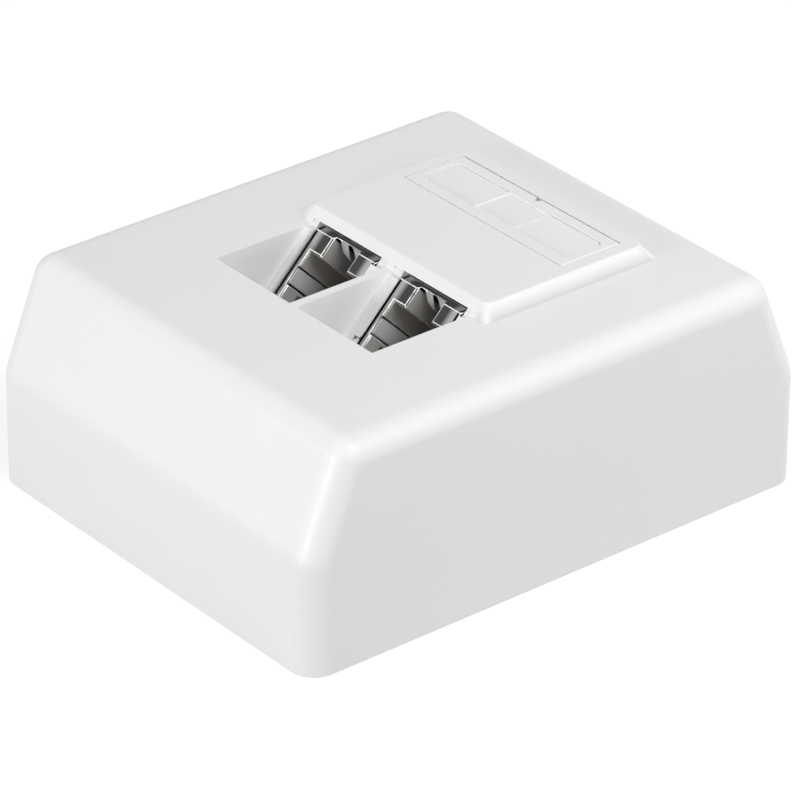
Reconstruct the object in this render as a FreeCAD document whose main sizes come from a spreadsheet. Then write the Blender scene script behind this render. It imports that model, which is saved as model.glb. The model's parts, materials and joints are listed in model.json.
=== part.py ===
"""Surface mount jack box with two shielded 8-way jacks at 45 degrees.

The frame stands on the middle of the back plate's rear face: X along the box, jacks opening towards
-X, Y across it, Z out of the wall. Every size is a named cell of the sheet, and every feature is
bound to those cells. The jacks are drawn in a tilted frame of their own: x up the slope towards the
platform, y across, z out of the port.
"""
import FreeCAD, Part
import math
import operator
import os

import Sketcher
from FreeCAD import Rotation, Vector

SIZES = (
    # the cover's outer form
    ("case_length", 99.2, "length at the foot, along X"),
    ("case_width", 80.0, "width, along Y"),
    ("face_height", 38.2, "height of the flat face over the wall"),
    ("fold_height", 19.6, "height of the soft fold in the two end walls"),
    ("end_lean", 7.25, "how far each end wall leans in between the fold and the face"),
    ("fold_radius", 9.0, "radius of the soft fold"),
    ("edge_radius", 4.3, "radius of the upright corners and of the face's edges"),
    ("cover_wall", 2.2, "wall of the cover"),
    ("cavity_radius", 2.1, "radius of the cavity's corners"),
    # the raised platform
    ("platform_start", 2.2, "from the middle of the box to the platform's foot, towards -X"),
    ("platform_length", 35.4, "length of the platform's foot"),
    ("platform_width", 47.2, "width of the platform's foot"),
    ("platform_rise", 2.3, "height of the platform over the face"),
    ("platform_bevel", 1.9, "how far the bevels lean in"),
    ("platform_sink", 1.0, "how deep the bevels run on under the face"),
    ("platform_corner", 2.0, "radius of the platform's corners"),
    ("platform_edge", 0.5, "radius of the platform's upper edge"),
    # the two pockets
    ("pocket_front", 21.2, "from the middle of the box to the pockets' front edge"),
    ("pocket_width", 18.7, "width of a pocket"),
    ("pocket_pitch", 20.3, "distance of the pockets"),
    ("pocket_wall", 1.6, "wall round the pockets"),
    ("port_tilt", 45.0, "angle of the pocket floors to the face"),
    ("floor_line", 2.8, "from the middle of the box to the floors' upper line, at face height"),
    ("lip_rise", 1.0, "height of the platform's lower lip over the face, above the jacks"),
    ("lip_recess", 0.7, "depth of the step under that lip"),
    ("floor_wall", 1.6, "thickness of a pocket floor"),
    ("frame_lip", 0.4, "thickness of the thin frame that lies over the jack's rim"),
    ("frame_width", 15.0, "width of the frame's opening"),
    ("frame_pitch", 21.6, "distance of the frame openings"),
    ("frame_length", 14.4, "length of the opening down the slope, below face height"),
    ("frame_relief", 0.3, "play of the jack's nose in the step behind the frame"),
    ("ear_start", 11.2, "from face height down the slope to the opening's ear"),
    ("ear_width", 1.1, "width of that ear, towards the middle of the box"),
    # the label strip
    ("strip_length", 38.4, "length of the label strip, along Y"),
    ("strip_width", 12.2, "width of the label strip"),
    ("strip_centre", 22.75, "from the middle of the box to the strip's middle"),
    ("strip_thick", 1.2, "thickness of the strip"),
    ("strip_gap", 0.12, "gap round the strip"),
    ("strip_edge", 0.2, "chamfer of the strip's upper edge"),
    ("field_length", 13.0, "length of a label field"),
    ("field_width", 8.0, "width of a label field"),
    ("field_pitch", 23.0, "distance of the two label fields"),
    ("field_depth", 0.45, "depth of a label field"),
    ("field_corner", 1.6, "radius of the fields' outer corners"),
    ("panel_length", 9.2, "length of the panel between the fields"),
    ("panel_width", 7.3, "width of the panel"),
    ("panel_depth", 0.25, "depth of the panel"),
    ("card_thick", 0.2, "thickness of a paper label"),
    ("card_gap", 0.15, "gap round a paper label"),
    ("notch_width", 1.7, "width of the pry notch"),
    ("notch_depth", 1.5, "depth of the pry notch"),
    ("tongue_width", 6.0, "width of a snap tongue under the strip"),
    ("tongue_thick", 1.0, "thickness of a snap tongue"),
    ("tongue_length", 4.2, "length of a snap tongue"),
    ("tongue_inset", 1.2, "from the strip's end to its tongue"),
    ("tongue_nib", 0.3, "how far the tongue's nib stands out"),
    # the cover screw and its pillar
    ("screw_diameter", 3.0, "thread of the cover screw and of the bracket screws"),
    ("screw_head", 5.6, "head of the screws"),
    ("screw_head_height", 1.9, "height of a screw head"),
    ("cover_screw_length", 12.0, "cover screw under its head"),
    ("well_diameter", 6.4, "screw well in the platform"),
    ("well_depth", 2.1, "depth of the screw well under the strip"),
    ("boss_diameter", 8.4, "boss under the platform round the screw"),
    ("boss_length", 4.0, "length of that boss below the ceiling"),
    ("screw_play", 0.3, "radial play of a screw in what it passes"),
    ("thread_play", 0.05, "radial play of a screw in its pilot hole"),
    ("pillar_diameter", 7.0, "pillar on the back plate"),
    ("seat_gap", 0.1, "gap between the pillar and the boss"),
    # the back plate
    ("plate_thick", 2.5, "thickness of the back plate"),
    ("plate_gap", 0.2, "gap between the plate and the cover's walls"),
    ("plate_corner", 2.0, "radius of the plate's corners"),
    ("rim_height", 6.0, "height of the stiffening rim over the plate"),
    ("rim_thick", 1.4, "thickness of the rim"),
    ("rim_inset", 2.6, "from the plate's edge to the rim"),
    ("wall_slot_pitch", 56.0, "distance of the wall-screw slots"),
    ("wall_slot_length", 7.0, "length of a wall-screw slot"),
    ("wall_slot_width", 4.4, "width of a wall-screw slot"),
    ("wall_slot_line", 14.0, "from the middle of the box to the line of the wall-screw slots"),
    ("entry_length", 15.0, "length of the cable entry, along X"),
    ("entry_width", 34.0, "width of the cable entry, along Y"),
    ("entry_centre", 34.9, "from the middle of the box to the cable entry"),
    ("entry_corner", 1.0, "chamfer of the cable entry's corners"),
    ("hook_width", 8.0, "width of a plate hook"),
    ("hook_pitch", 36.0, "distance of the plate hooks"),
    ("hook_thick", 1.2, "thickness of a plate hook"),
    ("hook_height", 7.4, "height of a plate hook over the plate"),
    ("hook_reach", 0.9, "how far a hook's nose reaches into the cover"),
    ("hook_nose", 1.6, "height of a hook's nose"),
    ("hook_play", 0.25, "play of a hook's nose in its notch"),
    ("rest_width", 2.0, "width of the cover's inner rests"),
    ("rest_depth", 1.6, "how far a rest stands in from the wall"),
    ("rest_pitch", 24.0, "distance of the rests along a long wall"),
    ("rest_count", 3, "rests along a long wall"),
    # the bracket
    ("carrier_wall", 1.5, "sheet of the bracket"),
    ("carrier_depth", 6.6, "from the jacks' front to the bracket's front"),
    ("carrier_width", 50.0, "width of the bracket"),
    ("carrier_top", 10.2, "bracket above the plug's middle, up the slope"),
    ("carrier_low", 11.4, "bracket below the plug's middle, down the slope"),
    ("carrier_play", 0.1, "play of a jack in the bracket's window"),
    ("foot_length", 9.0, "length of the bracket's foot"),
    ("boss_height", 3.0, "height of the two bosses under the bracket's foot"),
    ("foot_hole_pitch", 36.0, "distance of the bracket screws"),
    ("carrier_screw_length", 4.6, "bracket screw under its head"),
    # the jack's front housing
    ("jack_pitch", 21.0, "distance of the two jacks"),
    ("jack_width", 14.8, "width of a jack"),
    ("face_gap", 0.1, "gap between the frame and the jack's face"),
    ("plug_line", 6.9, "from face height down the slope to the plug's middle"),
    ("face_up", 8.2, "jack face above the plug's middle"),
    ("face_down", 8.2, "jack face below the plug's middle"),
    ("housing_depth", 13.0, "depth of the front housing"),
    ("port_width", 11.7, "width of the port"),
    ("port_up", 3.4, "port above the plug's middle, up to the shoulders"),
    ("port_down", 6.1, "port below the plug's middle, down to the comb's bed"),
    ("latch_width", 6.1, "width of the latch notch"),
    ("latch_up", 7.5, "latch notch above the plug's middle"),
    ("port_chamfer", 0.3, "chamfer round the port's mouth"),
    ("brow_chamfer", 1.2, "chamfer of the face's upper edge"),
    ("window_up", 0.55, "side window above the plug's middle"),
    ("window_down", 2.95, "side window below the plug's middle"),
    ("window_start", 0.5, "from the face to the side window"),
    ("window_end", 9.6, "from the face to the side window's end"),
    ("window_step", 0.5, "depth of the shallow slot that leads from the face to the window"),
    ("collar_thick", 1.4, "thickness of the housing's collar"),
    ("collar_reach", 0.9, "how far the collar stands out"),
    ("leaf_gap", 0.35, "gap above and below a ground leaf"),
    ("leaf_thick", 0.3, "thickness of a ground leaf"),
    ("leaf_bow", 0.45, "how far a ground leaf bows into the port"),
    ("leaf_front", 0.2, "from the face to the leaf's free end"),
    ("leaf_inset", 0.1, "from the port's wall to the leaf"),
    ("finger_width", 0.8, "width of a ground finger in the latch notch"),
    ("finger_thick", 0.25, "thickness of a ground finger"),
    ("finger_line", 2.55, "from the jack's middle to a ground finger"),
    ("finger_root", 1.5, "from the face to a finger's root on the notch's top"),
    ("finger_bend", 4.0, "from the face to a finger's upper bend"),
    ("finger_drop", 1.75, "upper bend below the notch's top"),
    ("finger_tip", 7.4, "from the face to a finger's lower bend"),
    ("finger_dip", 2.05, "lower bend below the notch's top"),
    ("finger_return", 1.35, "how far the finger's end turns back up"),
    # comb, contact springs and board
    ("comb_gap", 0.05, "gap between the comb and the housing"),
    ("comb_top", 3.5, "comb's top below the plug's middle"),
    ("comb_front", 3.2, "from the face to the comb"),
    ("comb_rear", 1.5, "thickness of the comb's rear wall"),
    ("comb_rise", 3.2, "rear wall above the plug's middle"),
    ("comb_slot", 0.62, "width of a comb slot"),
    ("contact_count", 8, "contacts in a jack"),
    ("contact_pitch", 1.02, "distance of the contacts"),
    ("contact_width", 0.42, "width of a contact spring"),
    ("contact_thick", 0.32, "thickness of a contact spring"),
    ("contact_bed", 5.45, "contact springs' lower side below the plug's middle"),
    ("contact_front", 4.6, "from the face to the springs' bend"),
    ("contact_tip_depth", 9.4, "from the face to the springs' tips"),
    ("contact_tip_line", 2.0, "springs' tips below the plug's middle"),
    ("board_thick", 1.4, "thickness of the circuit board"),
    ("board_margin", 0.2, "from the housing's outline to the board's edge"),
    # wiring block, blades, cap and rear shell
    ("block_depth", 8.4, "depth of the wiring block"),
    ("block_width", 12.6, "width of the wiring block"),
    ("block_height", 14.2, "height of the wiring block"),
    ("block_valley", 4.4, "width of the valley between the rows"),
    ("block_valley_depth", 5.0, "depth of that valley"),
    ("wire_slot", 0.9, "width of a wire slot"),
    ("wire_slot_depth", 5.6, "depth of a wire slot"),
    ("wire_pitch", 3.3, "distance of the wire slots"),
    ("wires_in_row", 4, "wire slots in a row"),
    ("blade_line", 4.3, "from the middle to the row of blades"),
    ("blade_slot", 0.6, "width of a blade slot"),
    ("blade_thick", 0.45, "thickness of a blade"),
    ("blade_width", 2.4, "width of a blade"),
    ("blade_length", 6.2, "length of a blade"),
    ("blade_fork", 0.4, "width of the fork in a blade"),
    ("blade_fork_depth", 3.2, "depth of the fork in a blade"),
    ("blade_play", 0.1, "play at the ends of a blade slot"),
    ("cap_thick", 2.0, "thickness of the wire cap"),
    ("cap_gap", 0.15, "gap between the wiring block and the cap"),
    ("cap_hole", 7.6, "cable hole in the cap"),
    ("shield_wall", 0.8, "wall of the rear shell"),
    ("shield_gap", 0.1, "gap between the board and the rear shell"),
    ("neck_length", 3.0, "length of the cable neck"),
    ("neck_wall", 0.9, "wall of the cable neck"),
)


class Size:
    """A length: the number it has now, and the text that ties it to the sheet."""

    def __init__(self, value, text):
        self.value = float(value)
        self.text = text


def as_size(item):
    return item if isinstance(item, Size) else Size(item, f"{item:.9g}")


def operation(symbol, work):
    def forward(first, second):
        first, second = as_size(first), as_size(second)
        return Size(work(first.value, second.value), f"({first.text} {symbol} {second.text})")

    return forward, lambda second, first: forward(first, second)


Size.__add__, Size.__radd__ = operation("+", operator.add)
Size.__sub__, Size.__rsub__ = operation("-", operator.sub)
Size.__mul__, Size.__rmul__ = operation("*", operator.mul)
Size.__truediv__, Size.__rtruediv__ = operation("/", operator.truediv)
Size.__neg__ = lambda item: 0 - item


def angle_function(name, work):
    def call(angle):
        return Size(work(math.radians(angle.value)), f"{name}({angle.text} * 1deg)")

    return call


sine = angle_function("sin", math.sin)
cosine = angle_function("cos", math.cos)
tangent = angle_function("tan", math.tan)

doc = FreeCAD.newDocument("jack_box")


def make_sheet():
    """Write the sizes into the sheet and return them by name."""
    sheet = doc.addObject("Spreadsheet::Sheet", "sizes")
    named = {}
    for row, (alias, value, note) in enumerate(SIZES, start=1):
        sheet.set(f"A{row}", alias)
        sheet.set(f"B{row}", str(value))
        sheet.set(f"C{row}", note)
        sheet.setAlias(f"B{row}", alias)
        named[alias] = Size(value, f"sizes.{alias}")
    doc.recompute()
    return type("Sizes", (), named)


d = make_sheet()


def bind(item, prop, size):
    item.setExpression(prop, as_size(size).text)


def place(item, base, tilt=None):
    """Bind a sub-part's place, and its turn about Y where it has one."""
    if tilt is not None:
        item.Placement = FreeCAD.Placement(Vector(), Rotation(Vector(0, -1, 0), tilt.value))
        bind(item, "Placement.Rotation.Angle", tilt)
    for axis, size in zip("xyz", base):
        bind(item, f"Placement.Base.{axis}", size)
    return item


def new_body(label):
    body = doc.addObject("PartDesign::Body", label)
    body.Label = label
    return body


def origin_item(body, role):
    return next(item for item in body.Origin.OriginFeatures if item.Role == role)


def box_loop(x0, x1, y0, y1):
    return [(x0, y0), (x1, y0), (x1, y1), (x0, y1)]


def draw(body, role, loops, lift=None):
    """A sketch on an origin plane: each loop is a list of corners, or a circle (x, y, radius)."""
    sketch = body.newObject("Sketcher::SketchObject", f"{body.Label}_sketch")
    sketch.AttachmentSupport = (origin_item(body, role), [""])
    sketch.MapMode = "FlatFace"
    if lift is not None:
        bind(sketch, "AttachmentOffset.Base.z", lift)

    def fix(kind, *at):
        *ends, size = at
        size = as_size(size)
        index = sketch.addConstraint(Sketcher.Constraint(kind, *ends, size.value))
        bind(sketch, f"Constraints[{index}]", size)

    for loop in loops:
        if isinstance(loop, tuple):
            x, y, radius = (as_size(item) for item in loop)
            centre = Vector(x.value, y.value, 0)
            index = sketch.addGeometry(Part.Circle(centre, Vector(0, 0, 1), radius.value), False)
            fix("Radius", index, radius)
            fix("DistanceX", -1, 1, index, 3, x)
            fix("DistanceY", -1, 1, index, 3, y)
            continue
        corners = [(as_size(x), as_size(y)) for x, y in loop]
        points = [Vector(x.value, y.value, 0) for x, y in corners]
        first = sketch.GeometryCount
        for start, end in zip(points, points[1:] + points[:1]):
            sketch.addGeometry(Part.LineSegment(start, end), False)
        for step in range(len(points)):
            following = first + (step + 1) % len(points)
            sketch.addConstraint(Sketcher.Constraint("Coincident", first + step, 2, following, 1))
        for step, (x, y) in enumerate(corners):
            fix("DistanceX", -1, 1, first + step, 1, x)
            fix("DistanceY", -1, 1, first + step, 1, y)
    return sketch


def extrude(kind, body, sketch, length, symmetric=False, back=False):
    """A pad or pocket that has to change the body's volume in the right sense."""
    before = body.Shape.Volume if body.Tip else 0.0
    feature = body.newObject(f"PartDesign::{kind}", f"{body.Label}_{kind.lower()}")
    feature.Profile = sketch
    if symmetric:
        feature.SideType = "Symmetric"
    feature.Reversed = back
    bind(feature, "Length", length)
    sketch.Visibility = False
    doc.recompute()
    gained = body.Shape.Volume - before
    if (gained < 1e-4) == (kind == "Pad"):
        raise RuntimeError(f"{feature.Label} changes the volume by {gained:.4f}")
    return feature


def pad(body, sketch, length, **way):
    return extrude("Pad", body, sketch, length, **way)


def pocket(body, sketch, length, **way):
    return extrude("Pocket", body, sketch, length, **way)


def dress(kind, body, size, picked):
    """A fillet or chamfer on the edges that picked() takes."""
    base = body.Tip
    names = [f"Edge{at}" for at, edge in enumerate(base.Shape.Edges, start=1) if picked(edge)]
    feature = body.newObject(f"PartDesign::{kind}", f"{body.Label}_{kind.lower()}")
    feature.Base = (base, names)
    bind(feature, "Radius" if kind == "Fillet" else "Size", size)
    doc.recompute()
    return feature


def repeat(body, features, role, pitch, count):
    """Repeat features along an origin axis."""
    pattern = body.newObject("PartDesign::LinearPattern", f"{body.Label}_pattern")
    pattern.Originals = features
    pattern.Direction = (origin_item(body, role), [""])
    pattern.Mode = "Spacing"
    bind(pattern, "Offset", pitch)
    bind(pattern, "Occurrences", count)
    body.Tip = pattern
    doc.recompute()
    return pattern


def span(edge, axis):
    box = edge.BoundBox
    return getattr(box, f"{axis}Max") - getattr(box, f"{axis}Min")


def middle(edge, axis):
    box = edge.BoundBox
    return (getattr(box, f"{axis}Max") + getattr(box, f"{axis}Min")) / 2


def near(value, target, reach=0.01):
    return abs(value - target) < reach


def is_upright(edge):
    return span(edge, "X") < 0.01 and span(edge, "Y") < 0.01


# derived places, shared by the pieces that meet there
platform_top = d.face_height + d.platform_rise
platform_left = -d.platform_start
platform_right = platform_left + d.platform_length
strip_floor = platform_top - d.strip_thick
ceiling = d.face_height - d.cover_wall
half_width = d.case_width / 2
half_length = d.case_length / 2


# ---------------------------------------------------------------- cover

def end_profile(inset, top):
    """Side view of the housing: upright ends, then leaning ones; drawn inset from the outside."""
    lean = d.end_lean * (top - d.fold_height) / (d.face_height - d.fold_height)
    foot = half_length - inset
    return [(-foot, 0), (foot, 0), (foot, d.fold_height), (foot - lean, top),
            (lean - foot, top), (-foot, d.fold_height)]


def pocket_slope(height, depth=0):
    """X of the pocket floor's plane at a height over the face, or of a plane behind it."""
    return -d.floor_line + height / tangent(d.port_tilt) + depth / sine(d.port_tilt)


def round_shell(body, radius, width, top):
    """Fillet the upright corners and the upper edges of a shell-shaped solid or cavity."""
    def picked(edge):
        corner = near(abs(middle(edge, "Y")), width.value) and span(edge, "Y") < 0.01
        level = near(edge.BoundBox.ZMin, top.value) and span(edge, "Z") < 0.01
        at_wall = near(abs(middle(edge, "Y")), width.value) or span(edge, "Y") > width.value
        return (corner and span(edge, "Z") > 0.1) or (level and at_wall)

    dress("Fillet", body, radius, picked)


def soften_fold(body, radius):
    def picked(edge):
        return near(middle(edge, "Z"), d.fold_height.value) and span(edge, "Y") > half_width.value

    dress("Fillet", body, radius, picked)


def cover_shell(body):
    pad(body, draw(body, "XZ_Plane", [end_profile(0, d.face_height)]), d.case_width, symmetric=True)
    soften_fold(body, d.fold_radius)
    round_shell(body, d.edge_radius, half_width, d.face_height)


def cover_platform(body):
    """The raised platform, lofted from its foot to its bevelled top."""
    sunk = d.platform_bevel / d.platform_rise * d.platform_sink
    half = d.platform_width / 2
    foot = draw(body, "XY_Plane", [box_loop(platform_left - sunk, platform_right + sunk,
                                            -half - sunk, half + sunk)],
                lift=d.face_height - d.platform_sink)
    inset = d.platform_bevel
    top = draw(body, "XY_Plane", [box_loop(platform_left + inset, platform_right - inset,
                                           inset - half, half - inset)], lift=platform_top)
    loft = body.newObject("PartDesign::AdditiveLoft", "cover_platform")
    loft.Profile = foot
    loft.Sections = [top]
    loft.Ruled = True
    doc.recompute()

    def picked(edge):
        box = edge.BoundBox
        return span(edge, "Y") < 5 and span(edge, "Y") > 0.1 and near(box.ZMax, platform_top.value)

    dress("Fillet", body, d.platform_corner, picked)

    def upper_edge(edge):
        return near(edge.BoundBox.ZMin, platform_top.value) and span(edge, "Z") < 0.01

    dress("Fillet", body, d.platform_edge, upper_edge)


def cover_cavity(body):
    cavity = draw(body, "XZ_Plane", [end_profile(d.cover_wall, ceiling)])
    pocket(body, cavity, d.case_width - 2 * d.cover_wall, symmetric=True)
    inner = half_width - d.cover_wall
    round_shell(body, d.cavity_radius, inner, ceiling)


def cover_pockets(body):
    """The block round the pockets, then the pockets, their thin frames and the jacks' seats."""
    front = -d.pocket_front
    outer = front - d.pocket_wall
    hold = ceiling - d.face_height
    drop = tangent(d.port_tilt)
    behind = d.floor_wall
    block = draw(body, "XZ_Plane", [[
        (outer, d.face_height + hold / 2),
        (outer, d.face_height + (outer - pocket_slope(0, behind)) * drop),
        (pocket_slope(hold / 2, behind), d.face_height + hold / 2)]])
    pad(body, block, d.pocket_pitch + d.pocket_width + 2 * d.pocket_wall, symmetric=True)

    def pair(profile, width, pitch):
        """Cut a side profile twice, once for each jack."""
        for side in (-0.5, 0.5):
            sketch = draw(body, "XZ_Plane", [profile], lift=-side * pitch)
            pocket(body, sketch, width, symmetric=True)

    over = d.platform_rise / 4
    pair([(front, d.face_height + over), (front, d.face_height + (front - pocket_slope(0)) * drop),
          (pocket_slope(over), d.face_height + over)], d.pocket_width, d.pocket_pitch)

    def slope_point(along, depth):
        """A point so far down the slope from face height, and so deep behind the floor."""
        return (-d.floor_line - along * cosine(d.port_tilt) + depth * sine(d.port_tilt),
                d.face_height - along * sine(d.port_tilt) - depth * cosine(d.port_tilt))

    def slope_loop(upper, lower, shallow, deep):
        return [slope_point(upper, shallow), slope_point(lower, shallow),
                slope_point(lower, deep), slope_point(upper, deep)]

    lip = -d.lip_rise / sine(d.port_tilt)
    through = d.floor_wall + d.platform_rise
    pair(slope_loop(lip, d.frame_length, -d.lip_recess, through), d.frame_width, d.frame_pitch)
    pair(slope_loop(lip, -lip / 4, -d.lip_recess, d.lip_recess), d.pocket_width, d.pocket_pitch)
    inner = d.frame_pitch / 2 - d.frame_width / 2
    ear = inner - d.ear_width
    ear_x, ear_z = slope_point(d.ear_start, 0)
    low_x, _ = slope_point(d.ear_start + d.ear_width, 0)
    end_x, end_z = slope_point(d.frame_length, through)
    ears = [[(ear_x, side * inner), (low_x, side * ear), (end_x, side * ear), (end_x, side * inner)]
            for side in (-1, 1)]
    pocket(body, draw(body, "XY_Plane", ears, lift=ear_z), ear_z - end_z)
    seat_up = d.plug_line - d.face_up - d.frame_relief
    seat_down = d.plug_line + d.face_down + d.frame_relief
    seat_width = d.jack_width + 2 * d.frame_relief
    pair(slope_loop(seat_up, seat_down, d.frame_lip, through + d.cover_wall), seat_width, d.jack_pitch)


def cover_screw_seat(body):
    """Recess for the label strip, its two tongue slots, the screw well, boss and hole."""
    centre = d.strip_centre
    reach = d.strip_width / 2 + d.strip_gap
    half = d.strip_length / 2 + d.strip_gap
    boss = draw(body, "XY_Plane", [(centre, 0, d.boss_diameter / 2)], lift=ceiling - d.boss_length)
    pad(body, boss, d.boss_length + d.cover_wall / 2)
    recess = draw(body, "XY_Plane", [box_loop(centre - reach, centre + reach, -half, half)],
                  lift=platform_top)
    pocket(body, recess, d.strip_thick)
    well = draw(body, "XY_Plane", [(centre, 0, d.well_diameter / 2)], lift=strip_floor)
    pocket(body, well, d.well_depth)
    hole = draw(body, "XY_Plane", [(centre, 0, d.screw_diameter / 2 + d.screw_play)], lift=strip_floor)
    pocket(body, hole, d.platform_rise + d.face_height - ceiling + d.boss_length)
    near_end = d.strip_length / 2 - d.tongue_inset - d.tongue_thick - d.strip_gap
    far_end = near_end + d.tongue_thick + d.tongue_nib + 2 * d.strip_gap
    side = d.tongue_width / 2 + d.strip_gap
    slots = [box_loop(centre - side, centre + side, near_end, far_end),
             box_loop(centre - side, centre + side, -far_end, -near_end)]
    pocket(body, draw(body, "XY_Plane", slots, lift=strip_floor), d.platform_rise + d.cover_wall)


def cover_rests(body):
    """Ribs inside the long walls that sit on the back plate, and the notches for its hooks."""
    inner = half_width - d.cover_wall
    root = inner + d.cover_wall / 2
    for side in (-1, 1):
        outline = [(side * (inner - d.rest_depth), d.plate_thick), (side * root, d.plate_thick),
                   (side * root, ceiling), (side * inner, ceiling)]
        rib = pad(body, draw(body, "YZ_Plane", [outline], lift=-d.rest_pitch), d.rest_width,
                  symmetric=True)
        repeat(body, [rib], "X_Axis", d.rest_pitch, d.rest_count)
    wall = half_length - d.cover_wall
    nose_top = d.plate_thick + d.hook_height + d.hook_play
    nose_low = d.plate_thick + d.hook_height - d.hook_nose - d.hook_play
    depth = d.hook_reach - d.plate_gap + d.hook_play
    for side in (-0.5, 0.5):
        for end in (-1, 1):
            notch = draw(body, "XZ_Plane", [box_loop(end * (wall - d.cover_wall / 2),
                         end * (wall + depth), nose_low, nose_top)], lift=-side * d.hook_pitch)
            pocket(body, notch, d.hook_width + 2 * d.hook_play, symmetric=True)


def make_cover():
    body = new_body("cover")
    cover_shell(body)
    cover_platform(body)
    cover_cavity(body)
    cover_pockets(body)
    cover_screw_seat(body)
    cover_rests(body)
    return place(body, (0, 0, 0))


# ---------------------------------------------------------------- back plate

def plate_openings(body):
    """Two round-ended slots for the wall screws, and the cable entry."""
    line = d.wall_slot_line
    radius = d.wall_slot_width / 2
    straight = d.wall_slot_length / 2 - radius
    slots = []
    ends = []
    for side in (-0.5, 0.5):
        centre = side * d.wall_slot_pitch
        slots.append(box_loop(line - radius, line + radius, centre - straight, centre + straight))
        ends += [(line, centre - straight, radius), (line, centre + straight, radius)]
    pocket(body, draw(body, "XY_Plane", slots, lift=d.plate_thick), d.plate_thick)
    pocket(body, draw(body, "XY_Plane", ends, lift=d.plate_thick), d.plate_thick)

    half_entry = d.entry_length / 2
    side_entry = d.entry_width / 2
    entry = box_loop(d.entry_centre - half_entry, d.entry_centre + half_entry, -side_entry, side_entry)
    pocket(body, draw(body, "XY_Plane", [entry], lift=d.plate_thick), d.plate_thick)

    def entry_corner(edge):
        return (is_upright(edge) and near(abs(middle(edge, "Y")), side_entry.value)
                and near(abs(middle(edge, "X") - d.entry_centre.value), half_entry.value))

    dress("Chamfer", body, d.entry_corner, entry_corner)


def make_back_plate():
    body = new_body("back_plate")
    far = half_length - d.cover_wall - d.plate_gap
    wide = half_width - d.cover_wall - d.plate_gap
    pad(body, draw(body, "XY_Plane", [box_loop(-far, far, -wide, wide)]), d.plate_thick)
    dress("Fillet", body, d.plate_corner, is_upright)

    rim_far = far - d.rim_inset
    rim_wide = wide - d.rim_inset
    rim = draw(body, "XY_Plane", [box_loop(-rim_far, rim_far, -rim_wide, rim_wide),
               box_loop(d.rim_thick - rim_far, rim_far - d.rim_thick,
                        d.rim_thick - rim_wide, rim_wide - d.rim_thick)], lift=d.plate_thick)
    pad(body, rim, d.rim_height)

    pillar_top = ceiling - d.boss_length - d.seat_gap
    pillar = draw(body, "XY_Plane", [(d.strip_centre, 0, d.pillar_diameter / 2)])
    pad(body, pillar, pillar_top)
    pilot = draw(body, "XY_Plane", [(d.strip_centre, 0, d.screw_diameter / 2 + d.thread_play)],
                 lift=pillar_top)
    pocket(body, pilot, d.cover_screw_length)

    bosses = [(carrier_foot_hole, side * d.foot_hole_pitch / 2, d.pillar_diameter / 2)
              for side in (-1, 1)]
    pad(body, draw(body, "XY_Plane", bosses), d.plate_thick + d.boss_height)
    pilots = [(carrier_foot_hole, side * d.foot_hole_pitch / 2, d.screw_diameter / 2 + d.thread_play)
              for side in (-1, 1)]
    pocket(body, draw(body, "XY_Plane", pilots, lift=d.plate_thick + d.boss_height),
           d.plate_thick / 2 + d.boss_height)

    plate_openings(body)
    for side in (-0.5, 0.5):
        for end in (-1, 1):
            back = far - d.hook_thick
            top = d.plate_thick + d.hook_height
            nose = top - d.hook_nose
            hook = [(end * back, d.plate_thick / 2), (end * far, d.plate_thick / 2),
                    (end * far, nose), (end * (far + d.hook_reach), nose), (end * far, top),
                    (end * back, top)]
            pad(body, draw(body, "XZ_Plane", [hook], lift=-side * d.hook_pitch), d.hook_width,
                symmetric=True)
    return place(body, (0, 0, 0))


# ---------------------------------------------------------------- label strip and cards

def make_label_strip():
    body = new_body("label_strip")
    half = d.strip_length / 2
    reach = d.strip_width / 2
    notch = d.notch_width / 2
    outline = [(-reach, -half), (reach, -half), (reach, -notch), (reach - d.notch_depth, 0),
               (reach, notch), (reach, half), (-reach, half)]
    pad(body, draw(body, "XY_Plane", [outline]), d.strip_thick, back=True)

    inner = d.field_pitch / 2 - d.field_length / 2
    outer = d.field_pitch / 2 + d.field_length / 2
    across = d.field_width / 2
    fields = [box_loop(-across, across, inner, outer), box_loop(-across, across, -outer, -inner)]
    pocket(body, draw(body, "XY_Plane", fields), d.field_depth)

    def field_corner(edge):
        return (is_upright(edge) and near(edge.BoundBox.ZMin, -d.field_depth.value)
                and near(abs(middle(edge, "Y")), outer.value))

    dress("Fillet", body, d.field_corner, field_corner)

    def upper_edge(edge):
        level = near(edge.BoundBox.ZMin, 0) and span(edge, "Z") < 0.01
        long_side = near(abs(middle(edge, "X")), reach.value)
        return level and (long_side or near(abs(middle(edge, "Y")), half.value))

    dress("Chamfer", body, d.strip_edge, upper_edge)
    panel = box_loop(-d.panel_width / 2, d.panel_width / 2, -d.panel_length / 2, d.panel_length / 2)
    pocket(body, draw(body, "XY_Plane", [panel]), d.panel_depth)

    low = -d.strip_thick - d.tongue_length
    for sign in (-1, 1):
        far = half - d.tongue_inset
        back = far - d.tongue_thick
        tip = far + d.tongue_nib
        tongue = [(sign * back, -d.strip_thick / 2), (sign * far, -d.strip_thick / 2),
                  (sign * far, low + 2 * d.tongue_nib), (sign * tip, low + d.tongue_nib),
                  (sign * far, low), (sign * back, low)]
        pad(body, draw(body, "YZ_Plane", [tongue]), d.tongue_width, symmetric=True)
    return place(body, (d.strip_centre, 0, platform_top))


def make_label_card(label, side):
    body = new_body(label)
    across = d.field_width / 2 - d.card_gap
    along = d.field_length / 2 - d.card_gap
    pad(body, draw(body, "XY_Plane", [box_loop(-across, across, -along, along)]), d.card_thick)

    def outer_corner(edge):
        return is_upright(edge) and near(middle(edge, "Y"), side * along.value)

    dress("Fillet", body, d.field_corner - d.card_gap, outer_corner)
    return place(body, (d.strip_centre, side * d.field_pitch / 2, platform_top - d.field_depth))


# ---------------------------------------------------------------- screws

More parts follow.
